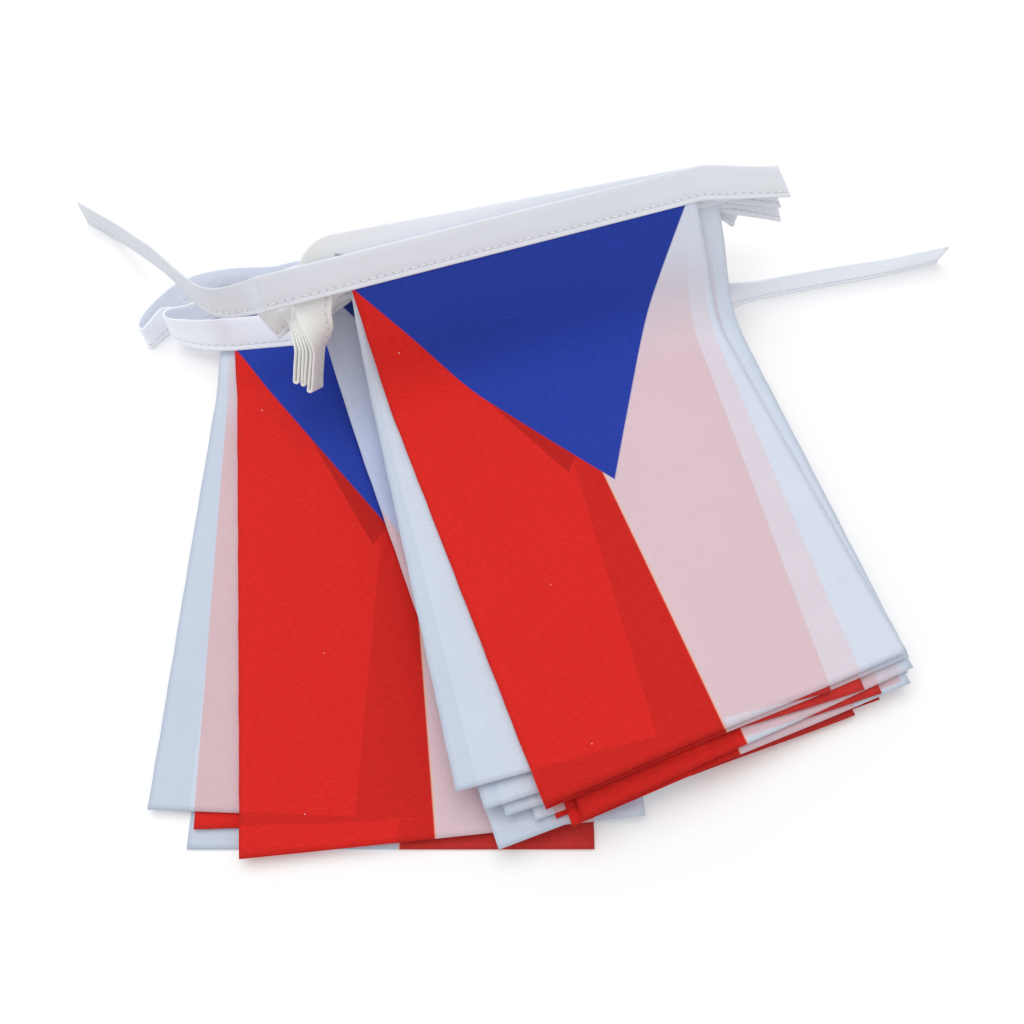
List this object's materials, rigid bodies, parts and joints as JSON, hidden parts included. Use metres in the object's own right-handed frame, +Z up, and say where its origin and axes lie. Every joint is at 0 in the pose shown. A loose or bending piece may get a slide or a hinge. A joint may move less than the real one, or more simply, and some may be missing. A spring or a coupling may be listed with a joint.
{
  "type": "folded string of flag bunting",
  "caption": "String of cloth flags on one white binding tape, folded back and forth in two stacks, with looped folds and free tape ends.",
  "frame": {"origin": "centre of the bounding box in plan, on the surface that the string rests on", "axes": "+Z up; +X to the right of the picture, along the tape's folds; +Y away from the viewer, towards the raised tape"},
  "size_m": [0.3756, 0.276, 0.0725],
  "materials": {
    "red_cloth": "thin woven polyester, printed, matt; face with the red half at the left",
    "white_cloth": "thin woven polyester, printed, matt; reverse with the white half at the left",
    "tape": "woven white tape folded double over the flags' edges"
  },
  "bodies": {
    "root": {"flag_01": "red_cloth", "flag_02": "white_cloth", "flag_03": "red_cloth", "flag_04": "white_cloth", "flag_05": "red_cloth", "flag_06": "white_cloth", "flag_07": "red_cloth", "flag_08": "white_cloth", "flag_09": "red_cloth", "flag_10": "white_cloth", "flag_11": "red_cloth", "flag_12": "white_cloth", "flag_13": "red_cloth", "flag_14": "white_cloth", "flag_15": "red_cloth", "flag_16": "white_cloth", "binding_tape": "tape"}
  },
  "joints": []
}
